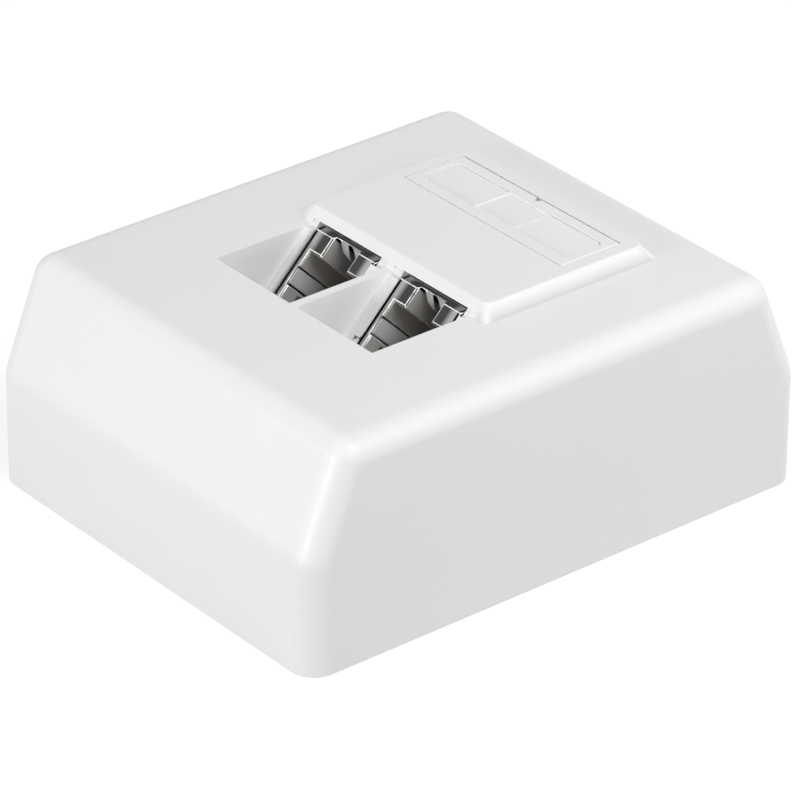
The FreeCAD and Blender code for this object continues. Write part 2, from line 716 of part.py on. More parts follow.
def make_screw(label, length, base):
    """A cheese-head screw, its seat under the head at z = 0."""
    body = new_body(label)
    head = d.screw_head / 2
    profile = [(0, -length), (d.screw_diameter / 2, -length), (d.screw_diameter / 2, 0), (head, 0),
               (head, d.screw_head_height), (0, d.screw_head_height)]
    turned = body.newObject("PartDesign::Revolution", f"{label}_turned")
    turned.Profile = draw(body, "XZ_Plane", [profile])
    turned.ReferenceAxis = (origin_item(body, "Z_Axis"), [""])
    turned.Angle = 360
    doc.recompute()
    return place(body, base)


# ---------------------------------------------------------------- the tilted frame of the jacks

def tilted_point(along, depth):
    """World X and Z of a point in the jacks' frame: up the slope, and behind the jack's face."""
    face = d.frame_lip + d.face_gap + depth
    x = -d.floor_line - (d.plug_line - along) * cosine(d.port_tilt) + face * sine(d.port_tilt)
    z = d.face_height - (d.plug_line - along) * sine(d.port_tilt) - face * cosine(d.port_tilt)
    return x, z


def place_jack_piece(body, side):
    x, z = tilted_point(0, 0)
    return place(body, (x, side * d.jack_pitch / 2, z), tilt=d.port_tilt)


def span_loop(low, high, half):
    return box_loop(-low, high, -half, half)


# ---------------------------------------------------------------- bracket

carrier_knee_x, carrier_knee_z = tilted_point(-d.carrier_low, d.carrier_depth + d.carrier_wall)
carrier_foot_hole = carrier_knee_x - d.foot_length / 2


def make_carrier():
    """Slanted front with two windows, side cheeks, an upright leg and a foot with two holes."""
    front = new_body("jack_carrier")
    half = d.carrier_width / 2
    window = d.jack_width / 2 + d.carrier_play
    windows = [box_loop(-d.face_down - d.carrier_play, d.face_up + d.carrier_play,
                        side * d.jack_pitch / 2 - window, side * d.jack_pitch / 2 + window)
               for side in (-1, 1)]
    sheet_front = draw(front, "XY_Plane", [span_loop(d.carrier_low, d.carrier_top, half)] + windows,
                       lift=-d.carrier_depth - d.carrier_wall)
    pad(front, sheet_front, d.carrier_wall)

    x0, z0 = tilted_point(0, 0)
    foot_z = d.plate_thick + d.boss_height

    def local(x, z):
        """Jack-frame x and z of a world point."""
        return ((x - x0) * cosine(d.port_tilt) + (z - z0) * sine(d.port_tilt),
                (z - z0) * cosine(d.port_tilt) - (x - x0) * sine(d.port_tilt))

    knee = carrier_knee_x
    toe = knee - d.foot_length
    leg = [local(knee, carrier_knee_z), local(knee, foot_z), local(toe, foot_z),
           local(toe, foot_z + d.carrier_wall), local(knee - d.carrier_wall, foot_z + d.carrier_wall),
           local(knee - d.carrier_wall, carrier_knee_z),
           (-d.carrier_low, -d.carrier_depth)]
    pad(front, draw(front, "XZ_Plane", [leg]), d.carrier_width, symmetric=True)

    top_x, top_z = tilted_point(d.carrier_top, d.carrier_depth)
    cheek = [(d.carrier_top, -d.carrier_depth), (-d.carrier_low, -d.carrier_depth),
             local(knee - d.carrier_wall, carrier_knee_z), local(knee - d.carrier_wall, foot_z),
             local(top_x, foot_z), local(top_x, top_z - d.carrier_wall)]
    for side in (-1, 1):
        sketch = draw(front, "XZ_Plane", [cheek], lift=-side * (half - d.carrier_wall / 2))
        pad(front, sketch, d.carrier_wall, symmetric=True)

    slot_end = carrier_foot_hole + d.screw_diameter / 2 + d.screw_play
    slot = [local(toe, foot_z), local(slot_end, foot_z),
            local(slot_end, foot_z + d.carrier_wall), local(toe, foot_z + d.carrier_wall)]
    for side in (-0.5, 0.5):
        sketch = draw(front, "XZ_Plane", [slot], lift=-side * d.foot_hole_pitch)
        pocket(front, sketch, d.screw_diameter + 2 * d.screw_play, symmetric=True)
    return place(front, (x0, 0, z0), tilt=d.port_tilt)


# ---------------------------------------------------------------- jack

def make_housing(label, side):
    """Die-cast front housing: a block with the T-shaped port, a collar and two side windows."""
    body = new_body(label)
    half = d.jack_width / 2
    pad(body, draw(body, "XY_Plane", [span_loop(d.face_down, d.face_up, half)]), d.housing_depth,
        back=True)
    reach = d.collar_reach
    collar = draw(body, "XY_Plane", [span_loop(d.face_down + reach, d.face_up + reach, half + reach)],
                  lift=-d.carrier_depth)
    pad(body, collar, d.collar_thick)
    port = d.port_width / 2
    latch = d.latch_width / 2
    outline = [(-d.port_down, -port), (d.port_up, -port), (d.port_up, -latch), (d.latch_up, -latch),
               (d.latch_up, latch), (d.port_up, latch), (d.port_up, port), (-d.port_down, port)]
    pocket(body, draw(body, "XY_Plane", [outline]), d.housing_depth)
    window = box_loop(-d.window_down, d.window_up, -d.window_end, -d.window_start)
    pocket(body, draw(body, "XZ_Plane", [window]), d.jack_width + 4 * reach, symmetric=True)
    step = port + d.window_step
    lead = draw(body, "XY_Plane", [box_loop(-d.window_down, d.window_up, -step, step)])
    pocket(body, lead, d.window_start)
    brow = [(d.face_up - d.brow_chamfer, 0), (d.face_up, 0), (d.face_up, -d.brow_chamfer)]
    pocket(body, draw(body, "XZ_Plane", [brow]), d.jack_width, symmetric=True)

    def mouth(edge):
        on_face = near(edge.BoundBox.ZMin, 0) and span(edge, "Z") < 0.01
        side_of_port = near(abs(middle(edge, "Y")), port.value) and span(edge, "X") > 1
        side_of_notch = near(abs(middle(edge, "Y")), latch.value) and span(edge, "X") > 1
        shoulder = near(middle(edge, "X"), d.port_up.value) and span(edge, "Y") > 1
        return on_face and (side_of_port or side_of_notch or shoulder)

    dress("Chamfer", body, d.port_chamfer, mouth)
    return place_jack_piece(body, side)


def make_ground_springs(label, side):
    """Two bowed leaves in the side windows, and two bent fingers in the latch notch."""
    body = new_body(label)
    low = -d.window_down + d.leaf_gap
    high = d.window_up - d.leaf_gap
    wall = d.port_width / 2 + d.leaf_inset
    root = -d.window_end
    tip = -d.leaf_front
    crest = (root + tip) / 2
    for sign in (-1, 1):
        inner = wall - d.leaf_bow
        leaf = [(sign * wall, root), (sign * inner, crest), (sign * wall, tip),
                (sign * (wall + d.leaf_thick), tip), (sign * (inner + d.leaf_thick), crest),
                (sign * (wall + d.leaf_thick), root)]
        sketch = draw(body, "YZ_Plane", [leaf], lift=low)
        pad(body, sketch, high - low)

    top = d.latch_up
    thick = d.finger_thick
    end = top - d.finger_dip + d.finger_return
    finger = [(top, -d.finger_root), (top - d.finger_drop, -d.finger_bend),
              (top - d.finger_dip, -d.finger_tip), (end, -d.finger_tip - thick),
              (end, -d.finger_tip), (top - d.finger_dip + thick, thick - d.finger_tip),
              (top - d.finger_drop + thick, -d.finger_bend - thick / 2),
              (top, -d.finger_root - 2 * thick)]
    for sign in (-1, 1):
        sketch = draw(body, "XZ_Plane", [finger], lift=-sign * d.finger_line)
        pad(body, sketch, d.finger_width, symmetric=True)
    return place_jack_piece(body, side)


def make_contact_insert(label, side):
    """L-shaped comb: a bed under the plug with a slot for each contact, and a rear wall."""
    body = new_body(label)
    bed = -d.port_down + d.comb_gap
    back = -d.housing_depth
    outline = [(bed, -d.comb_front), (-d.comb_top, -d.comb_front), (-d.comb_top, back + d.comb_rear),
               (d.comb_rise, back + d.comb_rear), (d.comb_rise, back), (bed, back)]
    pad(body, draw(body, "XZ_Plane", [outline]), d.port_width - 2 * d.comb_gap, symmetric=True)
    first = -d.contact_pitch * (d.contact_count - 1) / 2
    floor = d.contact_bed + d.comb_gap
    slot = draw(body, "XY_Plane", [box_loop(-floor, -d.comb_top + d.comb_gap,
                first - d.comb_slot / 2, first + d.comb_slot / 2)], lift=-d.comb_front)
    cut = pocket(body, slot, d.housing_depth)
    repeat(body, [cut], "Y_Axis", d.contact_pitch, d.contact_count)
    return place_jack_piece(body, side)


def make_contact_springs(label, side):
    """Eight bent strips: along the comb's bed from the board, then back up into the port."""
    body = new_body(label)
    bed = -d.contact_bed
    thick = d.contact_thick
    front = -d.contact_front
    tip = -d.contact_tip_depth
    outline = [(bed, -d.housing_depth), (bed, front), (-d.contact_tip_line, tip),
               (-d.contact_tip_line - thick, tip - thick), (bed + thick, front - 2 * thick),
               (bed + thick, -d.housing_depth)]
    first = -d.contact_pitch * (d.contact_count - 1) / 2
    strip = pad(body, draw(body, "XZ_Plane", [outline], lift=-first), d.contact_width, symmetric=True)
    repeat(body, [strip], "Y_Axis", d.contact_pitch, d.contact_count)
    return place_jack_piece(body, side)


def make_board(label, side):
    body = new_body(label)
    margin = d.board_margin
    outline = span_loop(d.face_down - margin, d.face_up - margin, d.jack_width / 2 - margin)
    pad(body, draw(body, "XY_Plane", [outline], lift=-d.housing_depth), d.board_thick, back=True)
    return place_jack_piece(body, side)


def block_front():
    return -d.housing_depth - d.board_thick


def wire_lines():
    """Slope positions of the wire slots of one row."""
    first = -d.wire_pitch * (d.wires_in_row - 1) / 2
    return [first + index * d.wire_pitch for index in range(int(d.wires_in_row.value))]


def make_wiring_block(label, side):
    """Two rows of wire slots with a valley between them, and a slot for each blade."""
    body = new_body(label)
    half = d.block_height / 2
    pad(body, draw(body, "XY_Plane", [span_loop(half, half, d.block_width / 2)], lift=block_front()),
        d.block_depth, back=True)
    rear = block_front() - d.block_depth
    valley = draw(body, "XY_Plane", [span_loop(half, half, d.block_valley / 2)], lift=rear)
    pocket(body, valley, d.block_valley_depth, back=True)
    lines = wire_lines()
    wires = [box_loop(line - d.wire_slot / 2, line + d.wire_slot / 2, -d.block_width / 2,
                      d.block_width / 2) for line in lines]
    pocket(body, draw(body, "XY_Plane", wires, lift=rear), d.wire_slot_depth, back=True)
    reach = d.blade_width / 2 + d.blade_play
    blades = [box_loop(line - reach, line + reach, sign * d.blade_line - d.blade_slot / 2,
                       sign * d.blade_line + d.blade_slot / 2) for line in lines for sign in (-1, 1)]
    pocket(body, draw(body, "XY_Plane", blades, lift=rear), d.block_depth, back=True)
    return place_jack_piece(body, side)


def make_wiring_blades(label, side):
    """Eight forked blades that stand on the board."""
    body = new_body(label)
    half = d.blade_width / 2
    fork = d.blade_fork / 2
    root = block_front()
    tip = root - d.blade_length
    fork_end = tip + d.blade_fork_depth
    for sign in (-1, 1):
        loops = [[(line - half, root), (line + half, root), (line + half, tip), (line + fork, tip),
                  (line + fork, fork_end), (line - fork, fork_end), (line - fork, tip),
                  (line - half, tip)] for line in wire_lines()]
        sketch = draw(body, "XZ_Plane", loops, lift=-sign * d.blade_line)
        pad(body, sketch, d.blade_thick, symmetric=True)
    return place_jack_piece(body, side)


def make_wire_cap(label, side):
    """Flat cap with the cable hole, behind the wiring block."""
    body = new_body(label)
    half = d.block_height / 2
    front = block_front() - d.block_depth - d.cap_gap
    outline = span_loop(half, half, d.block_width / 2)
    pad(body, draw(body, "XY_Plane", [outline, (0, 0, d.cap_hole / 2)], lift=front), d.cap_thick,
        back=True)
    rib = d.block_valley / 2 - d.cap_gap
    bar = [span_loop(half, -d.cap_hole / 2, rib), span_loop(-d.cap_hole / 2, half, rib)]
    pad(body, draw(body, "XY_Plane", bar, lift=front), d.block_valley_depth / 2)
    return place_jack_piece(body, side)


def make_rear_shield(label, side):
    """Rear shell round the block and the cap, with the neck that takes the cable."""
    body = new_body(label)
    front = block_front() - d.shield_gap
    depth = d.block_depth + d.cap_gap + d.cap_thick + d.shield_wall
    half = d.jack_width / 2
    pad(body, draw(body, "XY_Plane", [span_loop(d.face_down, d.face_up, half)], lift=front), depth,
        back=True)
    wall = d.shield_wall
    inside = span_loop(d.face_down - wall, d.face_up - wall, half - wall)
    pocket(body, draw(body, "XY_Plane", [inside], lift=front), depth - wall)
    neck = d.cap_hole / 2 + d.neck_wall
    pad(body, draw(body, "XY_Plane", [(0, 0, neck)], lift=front - depth), d.neck_length, back=True)
    pocket(body, draw(body, "XY_Plane", [(0, 0, d.cap_hole / 2)], lift=front - depth - d.neck_length),
           d.neck_length + 2 * wall, back=True)
    return place_jack_piece(body, side)


JACK_PIECES = (
    ("jack_housing", make_housing),
    ("ground_springs", make_ground_springs),
    ("contact_insert", make_contact_insert),
    ("contact_springs", make_contact_springs),
    ("jack_board", make_board),
    ("wiring_block", make_wiring_block),
    ("wiring_blades", make_wiring_blades),
    ("wire_cap", make_wire_cap),
    ("rear_shield", make_rear_shield),
)


def make_all():
    parts = [make_cover(), make_back_plate(), make_label_strip(), make_carrier()]
    for name, side in (("left", 1), ("right", -1)):
        parts.append(make_label_card(f"label_card_{name}", side))
        parts.append(make_screw(f"carrier_screw_{name}", d.carrier_screw_length,
                                (carrier_foot_hole, side * d.foot_hole_pitch / 2,
                                 d.plate_thick + d.boss_height + d.carrier_wall)))
    parts.append(make_screw("cover_screw", d.cover_screw_length,
                            (d.strip_centre, 0, strip_floor - d.well_depth)))
    for number, side in ((1, 1), (2, -1)):
        for name, make in JACK_PIECES:
            parts.append(make(f"{name}_{number}", side))
    return parts


def check(parts):
    """Stop on a failed feature or a sub-part without a sound shape."""
    doc.recompute()
    failed = [item.Label for item in doc.Objects if {"Invalid", "Error"} & set(item.State)]
    if failed:
        raise RuntimeError(f"failed: {failed}")
    for part in parts:
        if part.Shape.isNull() or not part.Shape.isValid():
            raise RuntimeError(f"{part.Label} has no sound shape")


def write(parts):
    os.makedirs("parts", exist_ok=True)
    for part in parts:
        part.Shape.exportStep(os.path.join("parts", f"{part.Label}.step"))
        box = part.Shape.BoundBox
        print(f"{part.Label:22s} solids {len(part.Shape.Solids)}  volume {part.Shape.Volume:9.1f}  "
              f"x {box.XMin:6.1f} {box.XMax:6.1f}  y {box.YMin:6.1f} {box.YMax:6.1f}  "
              f"z {box.ZMin:6.1f} {box.ZMax:6.1f}")


if __name__ == "__main__":
    made = make_all()
    check(made)
    write(made)
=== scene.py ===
"""Looks of the surface mount jack box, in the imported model's frame, in metres."""
import json
import math

import bmesh
import bpy
import numpy as np
from mathutils import Matrix, Vector


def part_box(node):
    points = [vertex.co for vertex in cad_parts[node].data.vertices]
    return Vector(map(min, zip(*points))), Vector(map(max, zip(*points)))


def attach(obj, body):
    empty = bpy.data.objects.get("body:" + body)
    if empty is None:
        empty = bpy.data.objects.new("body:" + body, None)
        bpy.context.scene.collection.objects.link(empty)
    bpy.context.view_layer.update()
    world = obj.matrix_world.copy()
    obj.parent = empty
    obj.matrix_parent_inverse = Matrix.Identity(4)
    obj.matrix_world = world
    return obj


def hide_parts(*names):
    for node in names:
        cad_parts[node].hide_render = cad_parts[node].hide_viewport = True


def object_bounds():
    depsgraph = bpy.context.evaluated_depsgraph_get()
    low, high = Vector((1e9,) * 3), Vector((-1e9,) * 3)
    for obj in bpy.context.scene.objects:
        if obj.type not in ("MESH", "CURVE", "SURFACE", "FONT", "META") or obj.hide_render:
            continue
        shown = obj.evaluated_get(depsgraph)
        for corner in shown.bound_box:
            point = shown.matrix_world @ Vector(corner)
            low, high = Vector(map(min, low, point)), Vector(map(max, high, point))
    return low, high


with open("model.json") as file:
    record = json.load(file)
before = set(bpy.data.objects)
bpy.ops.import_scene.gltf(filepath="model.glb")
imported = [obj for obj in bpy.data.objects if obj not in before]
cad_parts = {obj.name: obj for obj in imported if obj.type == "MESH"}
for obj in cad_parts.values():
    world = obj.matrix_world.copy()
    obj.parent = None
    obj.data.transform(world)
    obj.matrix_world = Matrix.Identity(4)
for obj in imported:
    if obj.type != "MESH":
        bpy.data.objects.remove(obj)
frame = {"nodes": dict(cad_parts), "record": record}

START_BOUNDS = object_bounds()
MM = 0.001
record = frame["record"]
body_of = {node: body for body, members in record["behaviour"]["bodies"].items() for node in members}
slot_of = {entry["node"]: entry["material_slot"] for entry in record["subparts"]}

bpy.context.scene.view_settings.view_transform = "Standard"


# ---------------------------------------------------------------- shader helpers

def add_node(tree, kind, values=None, **settings):
    """A shader node with its settings, and its sockets set or linked by name or index.

    In a colour Mix node the two colours are sockets 6 and 7 and the result is socket 2; in a value
    Mix node the two values are sockets 2 and 3 and the result is socket 0.
    """
    made = tree.nodes.new(kind)
    for name, value in settings.items():
        setattr(made, name, value)
    for key, value in (values or {}).items():
        if isinstance(value, bpy.types.NodeSocket):
            tree.links.new(value, made.inputs[key])
        else:
            made.inputs[key].default_value = value
    return made


def open_group(name, inputs, outputs):
    """An empty shader node group with typed sockets, and its input and output nodes."""
    group = bpy.data.node_groups.new(name, "ShaderNodeTree")
    for label, kind, default in inputs:
        socket = group.interface.new_socket(name=label, in_out="INPUT", socket_type=kind)
        if default is not None:
            socket.default_value = default
    for label, kind in outputs:
        group.interface.new_socket(name=label, in_out="OUTPUT", socket_type=kind)
    return group, group.nodes.new("NodeGroupInput"), group.nodes.new("NodeGroupOutput")


FLOAT = "NodeSocketFloat"
COLOR = "NodeSocketColor"
VECTOR = "NodeSocketVector"


def make_tone_drift():
    """Slow change of tone and of gloss over a moulded or cast surface."""
    group, given, result = open_group(
        "tone_drift",
        [("Place", VECTOR, None), ("Light tone", COLOR, (0.8, 0.8, 0.8, 1)),
         ("Deep tone", COLOR, (0.7, 0.7, 0.7, 1)), ("Patch scale", FLOAT, 60.0),
         ("Gloss low", FLOAT, 0.35), ("Gloss high", FLOAT, 0.45)],
        [("Tone", COLOR), ("Roughness", FLOAT)])
    patch = add_node(group, "ShaderNodeTexNoise",
                     {"Vector": given.outputs["Place"], "Scale": given.outputs["Patch scale"],
                      "Detail": 4.0, "Roughness": 0.55})
    mixed = add_node(group, "ShaderNodeMix", {"Factor": patch.outputs["Fac"],
                     6: given.outputs["Light tone"], 7: given.outputs["Deep tone"]}, data_type="RGBA")
    gloss = add_node(group, "ShaderNodeMapRange",
                     {"Value": patch.outputs["Fac"], "From Min": 0.3, "From Max": 0.7,
                      "To Min": given.outputs["Gloss low"], "To Max": given.outputs["Gloss high"]})
    group.links.new(mixed.outputs[2], result.inputs["Tone"])
    group.links.new(gloss.outputs["Result"], result.inputs["Roughness"])
    return group


def make_fine_grain():
    """Height of the fine texture that a mould, a die or a rolling mill leaves."""
    group, given, result = open_group(
        "fine_grain",
        [("Place", VECTOR, None), ("Grain scale", FLOAT, 2500.0), ("Waviness scale", FLOAT, 150.0),
         ("Waviness", FLOAT, 0.5)],
        [("Height", FLOAT)])
    grain = add_node(group, "ShaderNodeTexNoise",
                     {"Vector": given.outputs["Place"], "Scale": given.outputs["Grain scale"],
                      "Detail": 3.0, "Roughness": 0.6})
    wave = add_node(group, "ShaderNodeTexNoise",
                    {"Vector": given.outputs["Place"], "Scale": given.outputs["Waviness scale"],
                     "Detail": 1.0})
    scaled = add_node(group, "ShaderNodeMath", {0: wave.outputs["Fac"], 1: given.outputs["Waviness"]},
                      operation="MULTIPLY")
    total = add_node(group, "ShaderNodeMath", {0: grain.outputs["Fac"], 1: scaled.outputs[0]},
                     operation="ADD")
    group.links.new(total.outputs[0], result.inputs["Height"])
    return group


def make_painted_edge_highlight():
    """Painted highlight on edges: the faces marked as rounded edges get a bright tone, broken up by
    noise.
    """
    group, given, result = open_group(
        "painted_edge_highlight",
        [("Place", VECTOR, None), ("Base tone", COLOR, (0.4, 0.4, 0.4, 1)),
         ("Highlight tone", COLOR, (0.8, 0.8, 0.8, 1)), ("Break scale", FLOAT, 900.0)],
        [("Tone", COLOR)])
    marked = add_node(group, "ShaderNodeAttribute", attribute_name=EDGE_MARK)
    breaks = add_node(group, "ShaderNodeTexNoise",
                      {"Vector": given.outputs["Place"], "Scale": given.outputs["Break scale"],
                       "Detail": 3.0})
    highlight_share = add_node(group, "ShaderNodeMapRange",
                    {"Value": breaks.outputs["Fac"], "From Min": 0.3, "From Max": 0.5,
                     "To Min": LEAST_EDGE_HIGHLIGHT})
    mask = add_node(group, "ShaderNodeMath", {0: marked.outputs["Fac"], 1: highlight_share.outputs["Result"]},
                    operation="MULTIPLY")
    tone = add_node(group, "ShaderNodeMix",
                    {"Factor": mask.outputs[0], 6: given.outputs["Base tone"],
                     7: given.outputs["Highlight tone"]}, data_type="RGBA")
    group.links.new(tone.outputs[2], result.inputs["Tone"])
    return group


def make_plane_mask():
    """Mask of what lies behind a plane: 0 in front of it, 1 past the end of a short ramp."""
    group, given, result = open_group(
        "plane_mask",
        [("Place", VECTOR, None), ("Axis", VECTOR, (0.0, 0.0, 1.0)), ("Face", FLOAT, 0.0),
         ("Start", FLOAT, 0.0002), ("End", FLOAT, 0.0005)],
        [("Mask", FLOAT)])
    along = add_node(group, "ShaderNodeVectorMath",
                     {0: given.outputs["Place"], 1: given.outputs["Axis"]}, operation="DOT_PRODUCT")
    depth = add_node(group, "ShaderNodeMath", {0: given.outputs["Face"], 1: along.outputs["Value"]},
                     operation="SUBTRACT")
    mask = add_node(group, "ShaderNodeMapRange",
                    {"Value": depth.outputs[0], "From Min": given.outputs["Start"],
                     "From Max": given.outputs["End"]})
    group.links.new(mask.outputs["Result"], result.inputs["Mask"])
    return group


EDGE_MARK = "rounded_edge"
LEAST_EDGE_HIGHLIGHT = 0.45
TONE_DRIFT = make_tone_drift()
FINE_GRAIN = make_fine_grain()
PAINTED_EDGE_HIGHLIGHT = make_painted_edge_highlight()
PLANE_MASK = make_plane_mask()

# A jack's own directions: out of the port, and up its tilted face.
ports = {mount["name"]: mount for mount in record["mounts"]}
PORT_AXIS = np.array(ports["port_1"]["axis"])
PORT_PLACES = {"1": np.array(ports["port_1"]["pos_m"]), "2": np.array(ports["port_2"]["pos_m"])}
UP_SLOPE = np.array([-PORT_AXIS[0], 0.0, PORT_AXIS[2]])
# Zones of the castings where light and shade are painted: behind the face, under the brow, and how far
# to the side of a jack's middle.
FACE_LEVEL = float(PORT_AXIS @ PORT_PLACES["1"])
BROW_LEVEL = float(UP_SLOPE @ PORT_PLACES["1"]) + 7.1 * MM
JACK_LINE = abs(float(PORT_PLACES["1"][1]))
PORT_RAMP = (0.2 * MM, 0.5 * MM)
BROW_RAMP = (0.0, 0.1 * MM)
# MARGIN is the band of painted reflection along each side of a jack's face; RIM is the band of painted
# shadow in the gap beside the frame.
MARGIN = (5.0 * MM, 6.1 * MM)
RIM = (6.72 * MM, 6.85 * MM)


def add_group(tree, group, values):
    """A shader node group placed in a material, with its named inputs set or linked."""
    made = add_node(tree, "ShaderNodeGroup", node_tree=group)
    for key, value in values.items():
        if isinstance(value, bpy.types.NodeSocket):
            tree.links.new(value, made.inputs[key])
        else:
            made.inputs[key].default_value = value
    return made


def plane_mask(tree, place, axis, level, ramp):
    """The mask of what lies behind a plane square to the axis, placed in a material."""
    return add_group(tree, PLANE_MASK, {"Place": place, "Axis": tuple(axis), "Face": level,
                                        "Start": ramp[0], "End": ramp[1]}).outputs["Mask"]


def side_mask(tree, place, ramp):
    """Mask of what lies farther from the middle line of either jack than a short ramp."""
    across = add_node(tree, "ShaderNodeSeparateXYZ", {0: place}).outputs["Y"]
    side = add_node(tree, "ShaderNodeMath", {0: across}, operation="ABSOLUTE").outputs[0]
    off = add_node(tree, "ShaderNodeMath", {0: side, 1: JACK_LINE}, operation="SUBTRACT").outputs[0]
    reach = add_node(tree, "ShaderNodeMath", {0: off}, operation="ABSOLUTE").outputs[0]
    return add_node(tree, "ShaderNodeMapRange", {"Value": reach, "From Min": ramp[0],
                                                 "From Max": ramp[1]}).outputs["Result"]


def blend(tree, mask, first, second):
    """A colour that goes from the first to the second along a mask."""
    return add_node(tree, "ShaderNodeMix", {"Factor": mask, 6: first, 7: second},
                    data_type="RGBA").outputs[2]


def grey(level, warmth=0.0):
    """A grey, with a little more red than blue where it is warm."""
    return (level * (1 + warmth), level, level * (1 - warmth), 1.0)


def jack_zones(tree, place, surface, tone, gloss, inside):
    """Tone and gloss of a casting: painted reflection on the side margins, painted shadow at the rim
    by the gap, and a lighter, duller tone within the port as painted light; the band under the brow
    keeps the dark tone as painted shade.
    """
    painted_sheen_tone, painted_gap_shadow_tone, painted_inner_light_tone, inner_gloss, inner_metal = inside
    # Painted reflection on the face's side margins, then painted shadow in the gap at the rim.
    tone = blend(tree, side_mask(tree, place, MARGIN), tone, painted_sheen_tone)
    tone = blend(tree, side_mask(tree, place, RIM), tone, painted_gap_shadow_tone)
    # Painted light: the port's walls below the brow get a lighter tone; the band under the brow keeps
    # the dark tone as painted shade.
    behind = plane_mask(tree, place, PORT_AXIS, FACE_LEVEL, PORT_RAMP)
    below = plane_mask(tree, place, UP_SLOPE, BROW_LEVEL, BROW_RAMP)
    mask = add_node(tree, "ShaderNodeMath", {0: behind, 1: below}, operation="MULTIPLY").outputs[0]
    tone = blend(tree, mask, tone, painted_inner_light_tone)
    gloss = add_node(tree, "ShaderNodeMix", {"Factor": mask, 2: gloss, 3: inner_gloss}).outputs[0]
    metal = add_node(tree, "ShaderNodeMix", {"Factor": mask, 2: 1.0, 3: inner_metal}).outputs[0]
    tree.links.new(metal, surface.inputs["Metallic"])
    return tone, gloss


def finish(name, light, deep, patch=60.0, gloss=(0.35, 0.45), grain=2500.0, waviness=0.5,
           waviness_scale=150.0, relief=0.000004, highlight_tone=None, inside=None, stretch=(1, 1, 1),
           **shader):
    """A material: drifting tone and gloss, fine relief, and a painted highlight on rounded edges where
    a tone is given.

    patch, grain and waviness_scale are noise scales in cycles a metre, and relief is the height of the
    texture in metres. inside holds the tone of a painted reflection on a jack's side margins and of a
    painted shadow at its rim, then a painted-light tone, a roughness and a metallic share for the
    surfaces within its port.
    """
    material = bpy.data.materials.new(name)
    material.use_nodes = True
    tree = material.node_tree
    tree.nodes.clear()
    out = add_node(tree, "ShaderNodeOutputMaterial")
    surface = add_node(tree, "ShaderNodeBsdfPrincipled", shader)
    place = add_node(tree, "ShaderNodeTexCoord").outputs["Object"]
    if tuple(stretch) != (1, 1, 1):
        place = add_node(tree, "ShaderNodeMapping", {"Vector": place, "Scale": stretch}).outputs[0]
    drift = add_group(tree, TONE_DRIFT, {"Place": place, "Light tone": light, "Deep tone": deep,
                                         "Patch scale": patch, "Gloss low": gloss[0],
                                         "Gloss high": gloss[1]})
    grain_group = add_group(tree, FINE_GRAIN, {"Place": place, "Grain scale": grain,
                                               "Waviness scale": waviness_scale,
                                               "Waviness": waviness})
    tone = drift.outputs["Tone"]
    gloss_level = drift.outputs["Roughness"]
    if inside is not None:
        tone, gloss_level = jack_zones(tree, place, surface, tone, gloss_level, inside)
    # Painted highlight: a bright tone on the faces of the rounded edges.
    if highlight_tone is not None:
        tone = add_group(tree, PAINTED_EDGE_HIGHLIGHT, {"Place": place, "Base tone": tone,
                                          "Highlight tone": highlight_tone}).outputs["Tone"]
    bump = add_node(tree, "ShaderNodeBump", {"Height": grain_group.outputs["Height"],
                                             "Distance": relief, "Strength": 1.0})
    tree.links.new(tone, surface.inputs["Base Color"])
    tree.links.new(gloss_level, surface.inputs["Roughness"])
    tree.links.new(bump.outputs["Normal"], surface.inputs["Normal"])
    tree.links.new(surface.outputs[0], out.inputs["Surface"])
    return material


